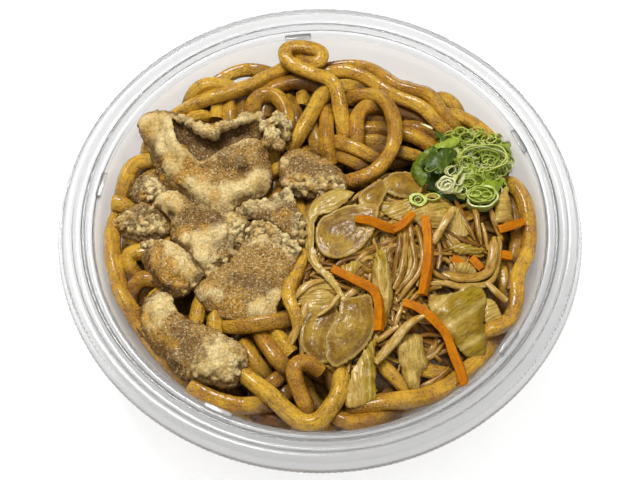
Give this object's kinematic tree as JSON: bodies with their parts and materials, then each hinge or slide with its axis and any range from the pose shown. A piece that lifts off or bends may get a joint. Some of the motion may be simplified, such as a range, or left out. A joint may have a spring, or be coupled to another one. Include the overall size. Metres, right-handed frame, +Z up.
{
  "type": "yaki udon in a takeaway bowl",
  "caption": "Stir-fried thick noodles with pork slices, mixed vegetables and chopped spring onion, in a round translucent takeaway bowl with a flared rim.",
  "frame": {"origin": "underside of the bowl's base, at its centre", "axes": "+Z up out of the bowl, +Y towards the far side, +X to the right as seen from the front"},
  "size_m": [0.196, 0.196, 0.0563],
  "materials": {
    "bowl": "moulded translucent polypropylene, frosted wall and glossy rim",
    "noodle": "thick wheat noodles glazed with brown sauce, oily sheen",
    "pork": "fried sliced pork belly, grey-brown meat, cream fat and seared edges",
    "vegetable": "bean sprouts and soft-fried shredded vegetables, oily",
    "cabbage": "soft-fried yellow-green cabbage leaf with pale veins",
    "onion": "glassy fried onion, brown with sauce",
    "carrot": "cooked orange carrot strips",
    "spring_onion": "raw chopped spring onion, bright green to white"
  },
  "bodies": {
    "root": {"bowl": "bowl", "noodles": "noodle", "vegetables": "vegetable", "pork_1": "pork", "pork_2": "pork", "pork_3": "pork", "pork_4": "pork", "pork_5": "pork", "pork_6": "pork", "pork_7": "pork", "pork_8": "pork", "pork_9": "pork", "onion_1": "onion", "onion_2": "onion", "onion_3": "onion", "cabbage_1": "cabbage", "cabbage_2": "cabbage", "cabbage_3": "cabbage", "cabbage_4": "cabbage", "cabbage_5": "cabbage", "carrot_1": "carrot", "carrot_2": "carrot", "carrot_3": "carrot", "carrot_4": "carrot", "carrot_5": "carrot", "carrot_6": "carrot", "spring_onion": "spring_onion"}
  },
  "joints": []
}
